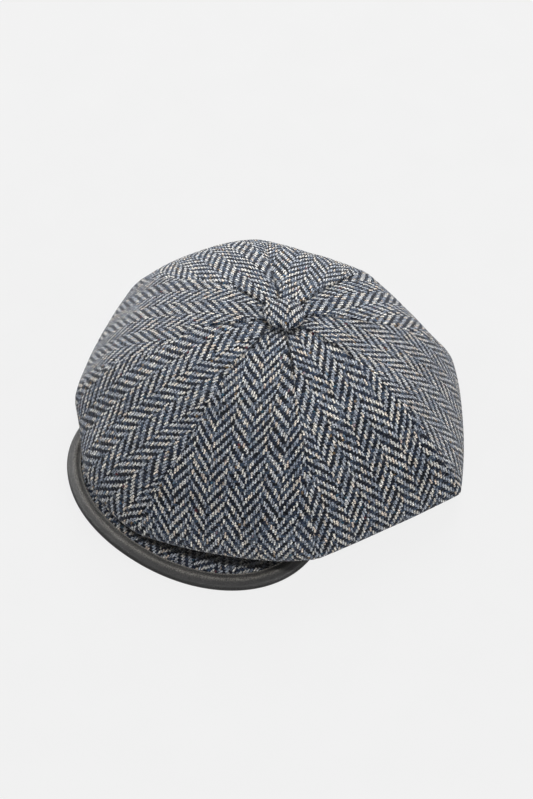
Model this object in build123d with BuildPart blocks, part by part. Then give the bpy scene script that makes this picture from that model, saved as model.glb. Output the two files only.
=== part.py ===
from build123d import *
import math
import os

# Eight-piece newsboy cap, at rest on its hem.
# Frame: +Z up, front of the cap towards -Y, wearer's left towards +X.
# Origin: centre of the head opening, on the plane that the hem stands on.
# All sizes are in millimetres.

# ---------------------------------------------------------------- head opening and band
HEAD_A = 84.0            # half width of the head opening
HEAD_B = 100.0           # half length of the head opening; girth about 580, a size 58
SWEATBAND_T = 1.2
INTERLINING_T = 0.8
BAND_CLOTH_T = 2.0
BAND_HEIGHT = 25.0
BAND_A = HEAD_A + SWEATBAND_T + INTERLINING_T + BAND_CLOTH_T
BAND_B = HEAD_B + SWEATBAND_T + INTERLINING_T + BAND_CLOTH_T
SWEATBAND_FOOT = 1.0     # the sweatband and interlining stop this far above the hem

# ---------------------------------------------------------------- crown
BUTTON_Y = 17.0          # the gores meet this far behind the centre of the opening
APEX_Z = 88.5            # height of the crown under the button
TOP_SLOPE = 0.21         # rise of the top towards the front, at the button
CLOTH_T = 2.0            # tweed with its fusible backing
TIP_R = 2.2              # the gore tips stop this far from the button's axis
APEX_DIP = 1.5           # the button pulls the gore tips down
GORE_ANGLES = [0, 45, 90, 135, 180]                        # seams, from the front round to the back
SEAM_REACH = {0: 152.5, 45: 139.0, 90: 138.5, 135: 112.0, 180: 93.5}
SEAM_RIM_Z = {0: 34.0, 45: 21.0, 90: 4.5, 135: 10.0, 180: 22.0}
SEAM_FOLD_R = {0: 20.0, 45: 8.0, 90: 3.5, 135: 6.0, 180: 2.8}
SEAM_FOOT_Z = {0: 14.0, 45: 19.0, 90: 22.0, 135: 22.0, 180: 24.0}   # sewn to the band here
GORE_BULGE = {22.5: 12.0, 67.5: 4.0, 112.5: 6.0, 157.5: 3.5}        # past the chord of its seams
SHOULDER = 0.72          # roundness of the shoulder, side
SHOULDER_FRONT = -0.25   # its change towards the front
WALL = 0.24              # steepness of the wall above the rim
SEAM_GAP = 0.7

# ---------------------------------------------------------------- lining
LINING_T = 0.6
LINING_DROP = 4.0        # the lining hangs this far below the crown's apex
LINING_SHOULDER = 0.6
LINING_WALL = 0.5
LINING_HEM_Z = BAND_HEIGHT + 0.3

# ---------------------------------------------------------------- covered button
BUTTON_R = 13.5
BUTTON_DOME = 6.5
DOME_EDGE = 0.35         # share of the dome's height that is its straight edge
BUTTON_LIFT = 0.4
BUTTON_CLOTH_T = 1.2
BUTTON_SHELL_T = 0.6
BUTTON_BACK_R = 10.5
SHANK_R = 1.4
SHANK_SPARE = 1.0        # the shank's length below the crown cloth
WASHER_R = 3.6
WASHER_T = 0.5

# ---------------------------------------------------------------- visor
VISOR_HALF_W = 92.6
VISOR_REACH = 66.0       # half ellipse in front of the widest line
VISOR_WIDE_Y = -79.3     # the widest line
VISOR_TAIL = (78.0, -40.0)
VISOR_MID_Z = 7.0
VISOR_ARCH = 3.0         # rise of the middle over the two sides
VISOR_GAP = 1.0          # between the visor's inner edge and the band
UNDER_COVER_T = 0.9
BOARD_T = 1.6
TOP_COVER_T = 1.3
LAYER_GAP = 0.1
SLAB_SPARE = 5.0         # the arched layers are cut from slabs this much wider
BINDING_T = 1.0
BINDING_W = 8.5

# ---------------------------------------------------------------- press stud
STUD_Y = -109.8          # under the flat of the crown's front fold
SOCKET_R = 5.5
SOCKET_H = 3.3
SOCKET_BORE_R = 2.9
STUD_FLANGE_R = 5.0
STUD_HEAD_R = 2.2
STUD_NECK_R = 1.8
STUD_FLANGE_T = 0.8
STUD_HEAD_H = 1.8
STUD_CLEARANCE = 1.2     # from the stud's top to the socket's top
SOCKET_ROOF = 0.8
CROWN_GAP = 0.7          # from the socket up to the crown cloth
CAP_GAP = 0.6            # from the crown cloth up to the cap of the socket's rivet
RIVET_R = 1.2
RIVET_GAP = 0.05
RIVET_DEPTH = 2.0        # depth of the stud's bore for its rivet
RIVET_TIP_GAP = 0.2
POCKET_GAP = 0.3
RIVET_FLANGE_R = 4.0
RIVET_FLANGE_T = 0.6
RIVET_HOLE_R = 1.5

# ---------------------------------------------------------------- blank label
LABEL_HALF_W = 20.0
LABEL_Z = (6.0, 24.0)
LABEL_T = 0.4

os.makedirs("parts", exist_ok=True)


def save(builder, name):
    """Label a finished piece and write it as its own STEP file."""
    builder.part.label = name
    export_step(builder.part, f"parts/{name}.step")


def seam_plane(angle):
    """Upright plane through the button's axis: local x runs outwards, local y is height."""
    turn = math.radians(angle)
    outwards = (math.sin(turn), -math.cos(turn), 0)
    normal = (-math.cos(turn), -math.sin(turn), 0)
    return Plane(origin=(0, BUTTON_Y, 0), x_dir=outwards, z_dir=normal)


def ellipse_reach(angle, half_x, half_y):
    """Distance from the button's axis to an ellipse round the origin."""
    turn = math.radians(angle)
    run_x = math.sin(turn)
    run_y = -math.cos(turn)
    a = (run_x / half_x) ** 2 + (run_y / half_y) ** 2
    b = 2 * BUTTON_Y * run_y / half_y ** 2
    c = (BUTTON_Y / half_y) ** 2 - 1
    return (-b + math.sqrt(b * b - 4 * a * c)) / (2 * a)


def blend_seams(table, angle):
    """A seam's own value, or the mean of its two neighbours at the middle of a gore."""
    if angle in table:
        return table[angle]
    return (table[angle - 22.5] + table[angle + 22.5]) / 2


def gore_reach(angle):
    """Largest radius of the crown: a seam's own, or the bulging middle of a gore."""
    if angle in SEAM_REACH:
        return SEAM_REACH[angle]
    near = SEAM_REACH[angle - 22.5]
    far = SEAM_REACH[angle + 22.5]
    half = math.radians(22.5)
    chord = near * far * math.sin(2 * half) / ((near + far) * math.sin(half))
    return chord + GORE_BULGE[angle]


def apex_height(angle, radius):
    """Height of the sloping top near the button."""
    return APEX_Z + TOP_SLOPE * math.cos(math.radians(angle)) * radius


def draw_gore_section(angle):
    """Section of the crown cloth: top, rounded fold and underside, with its thickness."""
    reach = gore_reach(angle)
    rim_z = blend_seams(SEAM_RIM_Z, angle)
    fold_r = blend_seams(SEAM_FOLD_R, angle)
    shoulder = (SHOULDER + SHOULDER_FRONT * math.cos(math.radians(angle))) * reach
    wall_z = rim_z + WALL * (APEX_Z - rim_z)
    tip_z = apex_height(angle, TIP_R) - APEX_DIP
    shoulder_z = apex_height(angle, shoulder)

    foot_x = ellipse_reach(angle, BAND_A, BAND_B) + SEAM_GAP
    foot_z = blend_seams(SEAM_FOOT_Z, angle)
    to_foot_x = foot_x - (reach - fold_r)
    to_foot_z = foot_z - rim_z
    span = math.hypot(to_foot_x, to_foot_z)
    climb = math.atan2(to_foot_z, -to_foot_x) + math.asin(fold_r / span)
    inwards = (math.sin(climb), math.cos(climb))
    fold_turn = -(90 + math.degrees(climb))

    outer_top = Bezier((TIP_R, tip_z), (shoulder, shoulder_z), (reach, wall_z), (reach, rim_z))
    outer_fold = JernArc(outer_top @ 1, (0, -1), fold_r, fold_turn)
    outer_under = Line(outer_fold @ 1, (foot_x, foot_z))
    inner_foot = (foot_x + CLOTH_T * inwards[0], foot_z + CLOTH_T * inwards[1])
    inner_fold = JernArc((reach - CLOTH_T, rim_z), (0, -1), fold_r - CLOTH_T, fold_turn)
    inner_top = Bezier((TIP_R, tip_z - CLOTH_T), (shoulder, shoulder_z - CLOTH_T),
                       (reach - CLOTH_T, wall_z), (reach - CLOTH_T, rim_z))
    Line(outer_under @ 1, inner_foot)
    Line(inner_foot, inner_fold @ 1)
    Line(inner_top @ 0, outer_top @ 0)


def draw_lining_section(angle):
    """Section of one lining gore: a plain dome from the button to the top of the band."""
    reach = ellipse_reach(angle, HEAD_A + SWEATBAND_T + LINING_T, HEAD_B + SWEATBAND_T + LINING_T)
    tip_z = apex_height(angle, TIP_R) - APEX_DIP - LINING_DROP
    shoulder = LINING_SHOULDER * reach
    shoulder_z = apex_height(angle, shoulder) - LINING_DROP
    wall_z = LINING_HEM_Z + LINING_WALL * (APEX_Z - LINING_DROP - LINING_HEM_Z)
    outer = Bezier((TIP_R, tip_z), (shoulder, shoulder_z), (reach, wall_z), (reach, LINING_HEM_Z))
    inner = Bezier((TIP_R, tip_z - LINING_T), (shoulder, shoulder_z - LINING_T),
                   (reach - LINING_T, wall_z), (reach - LINING_T, LINING_HEM_Z))
    Line(outer @ 1, inner @ 1)
    Line(inner @ 0, outer @ 0)


def build_gore(draw_section, near, far, name):
    """Loft one gore between its two seams, through its bulging middle, and mirror it."""
    with BuildPart() as gore:
        for angle in (near, (near + far) / 2, far):
            with BuildSketch(seam_plane(angle)):
                with BuildLine():
                    draw_section(angle)
                make_face()
        loft()
        if near == 0 and draw_section is draw_gore_section:
            with BuildSketch(Plane.XY):
                with Locations((0, STUD_Y)):
                    Circle(RIVET_HOLE_R)
            extrude(amount=APEX_Z / 2, mode=Mode.SUBTRACT)
    save(gore, f"{name}_left_{near // 45 + 1}")
    with BuildPart() as twin:
        add(gore.part)
        mirror(about=Plane.YZ, mode=Mode.REPLACE)
    save(twin, f"{name}_right_{near // 45 + 1}")


for first_seam, second_seam in zip(GORE_ANGLES[:-1], GORE_ANGLES[1:]):
    build_gore(draw_gore_section, first_seam, second_seam, "crown_panel")
    build_gore(draw_lining_section, first_seam, second_seam, "lining_panel")


# ---------------------------------------------------------------- band rings
def build_ring(name, outer_a, outer_b, thickness, foot_z, top_z):
    """Upright oval ring of one band layer."""
    with BuildPart() as ring:
        with BuildSketch(Plane.XY.offset(foot_z)):
            Ellipse(outer_a, outer_b)
            Ellipse(outer_a - thickness, outer_b - thickness, mode=Mode.SUBTRACT)
        extrude(amount=top_z - foot_z)
    save(ring, name)


build_ring("outer_band", BAND_A, BAND_B, BAND_CLOTH_T, 0, BAND_HEIGHT)
build_ring("band_interlining", BAND_A - BAND_CLOTH_T, BAND_B - BAND_CLOTH_T, INTERLINING_T,
           SWEATBAND_FOOT, BAND_HEIGHT - SWEATBAND_FOOT)
build_ring("sweatband", HEAD_A + SWEATBAND_T, HEAD_B + SWEATBAND_T, SWEATBAND_T,
           SWEATBAND_FOOT, BAND_HEIGHT)

# Blank label sewn inside the back of the sweatband.
with BuildPart() as inner_label:
    with BuildSketch(Plane.XY.offset(LABEL_Z[0])):
        Ellipse(HEAD_A, HEAD_B)
        Ellipse(HEAD_A - LABEL_T, HEAD_B - LABEL_T, mode=Mode.SUBTRACT)
        with Locations((0, HEAD_B)):
            Rectangle(2 * LABEL_HALF_W, HEAD_B, mode=Mode.INTERSECT)
    extrude(amount=LABEL_Z[1] - LABEL_Z[0])
save(inner_label, "inner_label")

# ---------------------------------------------------------------- covered button
button_plane = Plane(origin=(0, BUTTON_Y, APEX_Z - APEX_DIP + BUTTON_LIFT), x_dir=(1, 0, 0),
                     z_dir=(0, TOP_SLOPE, 1))
button_section = Plane(origin=button_plane.origin, x_dir=(1, 0, 0), z_dir=-button_plane.y_dir)


def draw_dome(radius, height, thickness):
    """Half section of a shallow dome with a straight lower edge."""
    edge_h = height * DOME_EDGE
    inner_r = radius - thickness
    rise = TangentArc((0, height), (radius, edge_h), tangent=(1, 0))
    drop = Line(rise @ 1, (radius, 0))
    foot = Line(drop @ 1, (inner_r, 0))
    inner_drop = Line(foot @ 1, (inner_r, edge_h))
    inner_rise = TangentArc((0, height - thickness), inner_drop @ 1, tangent=(1, 0))
    Line(inner_rise @ 0, rise @ 0)


def build_dome(name, radius, height, thickness):
    """One domed layer of the covered button."""
    with BuildPart() as dome:
        with BuildSketch(button_section):
            with BuildLine():
                draw_dome(radius, height, thickness)
            make_face()
        revolve(axis=Axis(button_plane.origin, button_plane.z_dir))
    save(dome, name)


build_dome("button_cover", BUTTON_R, BUTTON_DOME, BUTTON_CLOTH_T)
build_dome("button_shell", BUTTON_R - BUTTON_CLOTH_T - LAYER_GAP,
           BUTTON_DOME - BUTTON_CLOTH_T - LAYER_GAP, BUTTON_SHELL_T)

SHANK_LENGTH = CLOTH_T + BUTTON_LIFT + SHANK_SPARE

# Back plate with the shank that goes down through the gore tips to its washer.
with BuildPart() as button_back:
    with BuildSketch(button_plane):
        Circle(BUTTON_BACK_R)
    extrude(amount=BUTTON_SHELL_T)
    with BuildSketch(button_plane):
        Circle(SHANK_R)
    extrude(amount=-SHANK_LENGTH)
save(button_back, "button_back")

with BuildPart() as button_washer:
    with BuildSketch(button_plane.offset(LAYER_GAP - SHANK_LENGTH)):
        Circle(WASHER_R)
        Circle(SHANK_R, mode=Mode.SUBTRACT)
    extrude(amount=WASHER_T)
save(button_washer, "button_washer")

# ---------------------------------------------------------------- visor
STACK_T = UNDER_COVER_T + BOARD_T + TOP_COVER_T + 2 * LAYER_GAP
STACK_LOW = VISOR_MID_Z - STACK_T / 2
BOARD_LOW = STACK_LOW + UNDER_COVER_T + LAYER_GAP
TOP_LOW = BOARD_LOW + BOARD_T + LAYER_GAP
TOP_HIGH = TOP_LOW + TOP_COVER_T
BINDING_LOW = STACK_LOW - LAYER_GAP - BINDING_T
BINDING_HIGH = TOP_HIGH + LAYER_GAP + BINDING_T


def draw_arched_slab(low, high):
    """Arched section across the visor, wider than the visor itself."""
    half = VISOR_HALF_W + SLAB_SPARE
    bottom = ThreePointArc((-half, low - VISOR_ARCH), (0, low), (half, low - VISOR_ARCH))
    side = Line(bottom @ 1, (half, high - VISOR_ARCH))
    top = ThreePointArc(side @ 1, (0, high), (-half, high - VISOR_ARCH))
    Line(top @ 1, bottom @ 0)


def draw_visor_outline(inset):
    """Half ellipse in front, round sides, and a straight back edge inside the band."""
    tail = (VISOR_TAIL[0] - inset, VISOR_TAIL[1])
    front = EllipticalCenterArc((0, VISOR_WIDE_Y), VISOR_HALF_W - inset, VISOR_REACH - inset,
                                start_angle=180, arc_size=180)
    left = TangentArc(front @ 1, tail, tangent=(0, 1))
    right = TangentArc(front @ 0, (-tail[0], tail[1]), tangent=(0, 1))
    Line(left @ 1, right @ 1)


def build_visor_layer(name, low, high, inset, hole_r=0.0, pocket=0.0):
    """One layer of the visor between its band edge and its inset outer edge."""
    with BuildPart() as layer:
        with BuildSketch(Plane.XZ):
            with BuildLine():
                draw_arched_slab(low, high)
            make_face()
        extrude(amount=2 * VISOR_HALF_W)
        with BuildSketch(Plane.XY):
            with BuildLine():
                draw_visor_outline(inset)
            make_face()
            Ellipse(BAND_A + VISOR_GAP, BAND_B + VISOR_GAP, mode=Mode.SUBTRACT)
        extrude(amount=2 * VISOR_MID_Z, mode=Mode.INTERSECT)
        if hole_r:
            with BuildSketch(Plane.XY):
                with Locations((0, STUD_Y)):
                    Circle(hole_r)
            extrude(amount=2 * VISOR_MID_Z, mode=Mode.SUBTRACT)
        if pocket:
            with BuildSketch(Plane.XY):
                with Locations((0, STUD_Y)):
                    Circle(RIVET_FLANGE_R + POCKET_GAP)
            extrude(amount=low + pocket, mode=Mode.SUBTRACT)
    save(layer, name)


STACK_INSET = BINDING_T + LAYER_GAP
build_visor_layer("visor_under_cover", STACK_LOW, STACK_LOW + UNDER_COVER_T, STACK_INSET)
build_visor_layer("visor_board", BOARD_LOW, BOARD_LOW + BOARD_T, STACK_INSET,
                  hole_r=RIVET_HOLE_R, pocket=RIVET_FLANGE_T + LAYER_GAP)
build_visor_layer("visor_top_cover", TOP_LOW, TOP_HIGH, STACK_INSET, hole_r=RIVET_HOLE_R)

# Leather binding: a channel folded round the visor's outer edge.
with BuildPart() as visor_binding:
    with BuildSketch(Plane.XZ):
        with BuildLine():
            draw_arched_slab(BINDING_LOW, BINDING_HIGH)
        make_face()
    extrude(amount=2 * VISOR_HALF_W)
    with BuildSketch(Plane.XY):
        with BuildLine():
            draw_visor_outline(0)
        make_face()
        with BuildLine():
            draw_visor_outline(BINDING_W)
        make_face(mode=Mode.SUBTRACT)
        Ellipse(BAND_A + VISOR_GAP, BAND_B + VISOR_GAP, mode=Mode.SUBTRACT)
    extrude(amount=2 * VISOR_MID_Z, mode=Mode.INTERSECT)
    with BuildPart(mode=Mode.PRIVATE) as slot:
        with BuildSketch(Plane.XZ):
            with BuildLine():
                draw_arched_slab(STACK_LOW - LAYER_GAP, TOP_HIGH + LAYER_GAP)
            make_face()
        extrude(amount=2 * VISOR_HALF_W)
        with BuildSketch(Plane.XY):
            with BuildLine():
                draw_visor_outline(BINDING_T)
            make_face()
        extrude(amount=2 * VISOR_MID_Z, mode=Mode.INTERSECT)
    add(slot.part, mode=Mode.SUBTRACT)
save(visor_binding, "visor_binding")

# ---------------------------------------------------------------- press stud, visor half
STUD_FOOT = TOP_HIGH + LAYER_GAP
CROWN_LOW = SEAM_RIM_Z[0] - SEAM_FOLD_R[0]
SOCKET_TOP = CROWN_LOW - CROWN_GAP
STUD_TOP = SOCKET_TOP - STUD_CLEARANCE


def build_disc_stack(name, steps, bore_r=0.0, bore_top=0.0):
    """Turned piece on the stud's axis: (radius, bottom, top) steps with an optional bore."""
    with BuildPart() as turned:
        for radius, bottom, top in steps:
            with BuildSketch(Plane.XY.offset(bottom)):
                with Locations((0, STUD_Y)):
                    Circle(radius)
            extrude(amount=top - bottom)
        if bore_r:
            with BuildSketch(Plane.XY):
                with Locations((0, STUD_Y)):
                    Circle(bore_r)
            extrude(amount=bore_top, mode=Mode.SUBTRACT)
    save(turned, name)


build_disc_stack("stud", [(STUD_FLANGE_R, STUD_FOOT, STUD_FOOT + STUD_FLANGE_T),
                          (STUD_NECK_R, STUD_FOOT, STUD_TOP - STUD_HEAD_H),
                          (STUD_HEAD_R, STUD_TOP - STUD_HEAD_H, STUD_TOP)],
                 bore_r=RIVET_R + RIVET_GAP, bore_top=STUD_FOOT + RIVET_DEPTH)
build_disc_stack("stud_rivet", [(RIVET_FLANGE_R, BOARD_LOW, BOARD_LOW + RIVET_FLANGE_T),
                                (RIVET_R, BOARD_LOW, STUD_FOOT + RIVET_DEPTH - RIVET_TIP_GAP)])

# ---------------------------------------------------------------- press stud, crown half
CAP_FOOT = CROWN_LOW + CLOTH_T + CAP_GAP
build_disc_stack("socket", [(SOCKET_R, SOCKET_TOP - SOCKET_H, SOCKET_TOP)],
                 bore_r=SOCKET_BORE_R, bore_top=SOCKET_TOP - SOCKET_ROOF)
build_disc_stack("socket_rivet", [(RIVET_R, SOCKET_TOP, CAP_FOOT),
                                  (RIVET_FLANGE_R, CAP_FOOT, CAP_FOOT + RIVET_FLANGE_T)])
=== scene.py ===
"""Eight-piece herringbone newsboy cap: the visible pieces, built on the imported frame."""
import math

import bpy
import numpy as np
from mathutils import Matrix, Vector, noise


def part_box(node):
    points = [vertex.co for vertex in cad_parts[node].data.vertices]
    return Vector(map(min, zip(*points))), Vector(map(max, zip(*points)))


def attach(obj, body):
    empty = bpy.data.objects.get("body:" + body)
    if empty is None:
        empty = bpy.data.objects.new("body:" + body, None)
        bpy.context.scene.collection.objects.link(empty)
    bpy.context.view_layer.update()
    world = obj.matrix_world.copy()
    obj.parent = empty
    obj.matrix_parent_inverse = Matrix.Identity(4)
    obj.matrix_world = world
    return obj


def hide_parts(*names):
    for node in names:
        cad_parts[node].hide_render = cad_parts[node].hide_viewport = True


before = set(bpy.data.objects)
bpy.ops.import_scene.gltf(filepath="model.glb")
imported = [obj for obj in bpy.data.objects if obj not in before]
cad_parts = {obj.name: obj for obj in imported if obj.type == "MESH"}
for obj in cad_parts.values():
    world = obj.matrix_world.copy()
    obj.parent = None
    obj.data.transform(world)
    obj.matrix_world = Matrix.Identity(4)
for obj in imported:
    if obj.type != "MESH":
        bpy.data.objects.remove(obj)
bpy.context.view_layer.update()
scene = bpy.context.scene
MM = 0.001

# ======== camera
IMAGE_H = 799
SENSOR = 36.0
FOCAL_PX = 2550.0
CAMERA_AZIMUTH = math.radians(39.52)
CAMERA_ELEVATION = math.radians(53.95)
CAMERA_ROLL = math.radians(-2.64)
CAMERA_DISTANCE = 1.7
CAMERA_BASE = (0.0, 0.019, 0.0)
CAMERA_AIM = (-0.01485, -0.00243)  # right and up of the base point, in the view

# ======== crown, in metres
BUTTON_Y = 0.017
APEX_Z = 0.0885
TOP_SLOPE = 0.21
TIP_R = 0.0025
APEX_DIP = 0.0015  # the button pulls the gore tips down
SHOULDER, SHOULDER_FRONT, WALL = 0.72, -0.25, 0.24
BAND_A, BAND_B = 0.088, 0.104
BAND_TOP = 0.025
FOOT_GAP = 0.0003
# One row per seam, from the front round by the wearer's left: reach, rim height, fold radius, foot height.
# SEAMS, GORE_BULGE and the directions in PULLS were printed by an optimiser that matched the outline to the
# photo; see report.md, which says what rule this doesn't meet.
SEAMS = [
    (0.1504, 0.0215, 0.0085, 0.0142),
    (0.1409, 0.0195, 0.0058, 0.019),
    (0.1406, 0.0089, 0.0026, 0.022),
    (0.1117, 0.0104, 0.0060, 0.022),
    (0.0936, 0.0220, 0.0028, 0.024),
    (0.1126, 0.0103, 0.0060, 0.022),
    (0.1355, 0.0036, 0.0035, 0.022),
    (0.1409, 0.0208, 0.0072, 0.019),
]
# how far the middle of each gore stands past the chord of its two seams
GORE_BULGE = (0.0073, 0.0012, 0.0045, 0.0003, 0.0001, 0.0088, 0.0044, 0.0093)
# soft pulls on the cloth: where, how wide, and which way
PULLS = [
    ((-0.052, -0.118, 0.020), 0.036, (-0.0033, -0.0048, -0.0025)),
    ((-0.020, -0.132, 0.016), 0.030, (0.0004, -0.0017, -0.0013)),
    ((-0.085, -0.098, 0.020), 0.030, (0.0020, 0.0026, 0.0004)),
]
# grain of a gore: width scale, lean of the warp, slant of the weft at the button and at the hem, length scale
PLAIN_GRAIN = (1.0, 0.0, 0.0, 0.0, 1.0)
GRAIN = {
    0: (1.03, -0.08, 0.36, 0.10, 1.03), 1: (0.95, 0.0, 0.08, -0.04, 1.02), 2: (1.20, 0.10, -0.20, -0.20, 1.0),
    6: (1.08, 0.0, 0.0, 0.0, 1.12), 7: (0.90, 0.13, -0.16, -0.14, 1.13),
}
GRAIN_MIDDLE = 0.080  # the warp leans about this distance from the button
SLANT_FROM, SLANT_TO = 0.04, 0.14  # the weft's slant changes between these distances
GORE_STEP = 45
BULGE_SHAPE = 2.4
ROWS_TOP, ROWS_FOLD, ROWS_UNDER = 96, 18, 20
GORE_COLUMNS = 56
GORE_SPLIT = 0.00003  # half the hairline between two gores
CLOTH_T = 0.0015
GROOVE_DEPTH, GROOVE_WIDTH = 0.0005, 0.0011
DIMPLE_DEPTH, DIMPLE_R = 0.0024, 0.0152
# unevenness of the cloth: height, size of a bump, seed
SWELL, CRUMPLE = (0.0010, 0.040, 3.1), (0.0007, 0.017, 9.7)

# ======== weave
WARP_PITCH = 0.00148
PICK_PITCH = 0.00185
COLUMN_YARNS = 8
SHADE_DEPTH = 0.90  # painted shadow where the crown covers the visor; 0 leaves it out


# ======== mesh helpers
def grid_quads(rows, cols, start=0, wrap=False, flip=False):
    """Quads of a rows x cols grid of vertices; wrap joins the last column to the first."""
    i, j = np.meshgrid(np.arange(rows - 1), np.arange(cols if wrap else cols - 1), indexing="ij")
    i, j = i.ravel(), j.ravel()
    k = (j + 1) % cols
    quads = np.stack([i * cols + j, (i + 1) * cols + j, (i + 1) * cols + k, i * cols + k], 1) + start
    return quads[:, ::-1] if flip else quads


def rim_quads(loop_a, loop_b):
    """Quads that join two open lines of vertices."""
    return np.stack([loop_a[:-1], loop_a[1:], loop_b[1:], loop_b[:-1]], 1)


def link(name, data):
    """A new object in the scene with this data."""
    item = bpy.data.objects.new(name, data)
    scene.collection.objects.link(item)
    return item


def new_object(name, points, quads, uvw=None, extra=None):
    """Mesh object with smooth faces and its weave coordinates as a named attribute."""
    mesh = bpy.data.meshes.new(name)
    mesh.from_pydata([tuple(p) for p in points], [], [tuple(int(i) for i in q) for q in quads])
    if uvw is not None:
        weave = mesh.attributes.new("weave", "FLOAT_VECTOR", "POINT")
        weave.data.foreach_set("vector", np.asarray(uvw, np.float32).ravel())
    for key, values in (extra or {}).items():
        layer = mesh.attributes.new(key, "FLOAT", "POINT")
        layer.data.foreach_set("value", np.asarray(values, np.float32).ravel())
    mesh.validate()
    mesh.shade_smooth()
    return link(name, mesh)


def dress(piece, material, body, replaced=()):
    """Give a piece its material, fix it to its body, and hide the parts it replaces."""
    piece.data.materials.append(material)
    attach(piece, body)
    if replaced:
        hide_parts(*replaced)
    return piece


def unit(vectors):
    """Vectors at length 1; a zero vector stays zero."""
    return vectors / np.maximum(np.linalg.norm(vectors, axis=-1, keepdims=True), 1e-12)


def run_along(line):
    """Distance along a polyline to each of its points."""
    return np.r_[0, np.cumsum(np.linalg.norm(np.diff(line, axis=0), axis=1))]


def grid_normals(grid):
    """Unit normals of a grid of points, rows x columns x 3."""
    return unit(np.cross(np.gradient(grid, axis=0), np.gradient(grid, axis=1)))


def row_arcs(grid):
    """Distance along each row of a grid from its first column."""
    steps = np.linalg.norm(np.diff(grid, axis=1), axis=2)
    return np.c_[np.zeros(len(grid)), np.cumsum(steps, axis=1)]


def shell(outer, inner):
    """Points and quads of a closed shell between two open grids."""
    rows, cols = outer.shape[:2]
    count = rows * cols
    index = np.arange(count).reshape(rows, cols)
    quads = [grid_quads(rows, cols), grid_quads(rows, cols, count, flip=True)]
    for edge in (index[0], index[-1][::-1], index[:, -1], index[:, 0][::-1]):
        quads.append(rim_quads(edge, edge + count)[:, ::-1])
    points = np.vstack([outer.reshape(-1, 3), inner.reshape(-1, 3)])
    return points, np.vstack(quads)


def sweep_ring(profile, half_a, half_b, steps):
    """Points of a closed (inset, height) profile swept round an upright oval, and the distance round it."""
    turn = np.linspace(0, 2 * math.pi, steps, endpoint=False)
    inset, height = profile[:, 0][None, :], profile[:, 1][None, :]
    x = (half_a - inset) * np.sin(turn)[:, None]
    y = -(half_b - inset) * np.cos(turn)[:, None]
    points = np.stack([x, y, np.broadcast_to(height, x.shape)], 2)
    step = np.hypot(half_a * np.cos(turn), half_b * np.sin(turn)) * (turn[1] - turn[0])
    return points, np.cumsum(step) - step[0]


def rounded_bar(low, high, thickness, radius, steps=4):
    """Closed profile of an upright bar with rounded corners, as (inset, height)."""
    radius = min(radius, thickness / 2)
    corners = [(thickness - radius, high - radius, 0), (radius, high - radius, 90),
               (radius, low + radius, 180), (thickness - radius, low + radius, 270)]
    line = []
    for inset, height, start in corners:
        for k in range(steps + 1):
            a = math.radians(start + 90 * k / steps)
            line.append((inset + radius * math.cos(a), height + radius * math.sin(a)))
    return np.array(line)


def split_long(profile, longest):
    """A closed profile with its long sides divided."""
    out = []
    for p, q in zip(profile, np.roll(profile, -1, axis=0)):
        parts = max(1, int(math.ceil(np.linalg.norm(q - p) / longest)))
        out += [p + (q - p) * k / parts for k in range(parts)]
    return np.array(out)


def capsule_chain(name, starts, ends, radius, sides=6):
    """One mesh of short round stitches, each from its start to its end, sunk at both ends."""
    points, quads, offset = [], [], 0
    rings = np.array([(-0.02, 0.35), (0.12, 0.85), (0.5, 1.0), (0.88, 0.85), (1.02, 0.35)])
    for start, end in zip(starts, ends):
        axis = end - start
        axis_n = axis / np.linalg.norm(axis)
        side = np.cross(axis_n, (0.0, 0.0, 1.0))
        if np.linalg.norm(side) < 1e-3:
            side = np.array((1.0, 0.0, 0.0))
        side /= np.linalg.norm(side)
        up = np.cross(side, axis_n)
        for place, scale in rings:
            for k in range(sides):
                a = 2 * math.pi * k / sides
                points.append(start + axis * place + radius * scale * (math.cos(a) * side + math.sin(a) * up))
        for q in grid_quads(len(rings), sides, offset, wrap=True):
            quads.append(tuple(q[::-1]))
        quads.append(tuple(offset + k for k in range(sides)))
        quads.append(tuple(offset + (len(rings) - 1) * sides + k for k in reversed(range(sides))))
        offset += len(rings) * sides
    return new_object(name, points, quads)


# ======== material helpers
def opaque(colour):
    """A socket as it is, or three numbers with an alpha of 1."""
    return colour if isinstance(colour, bpy.types.NodeSocket) else (*colour, 1)


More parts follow.
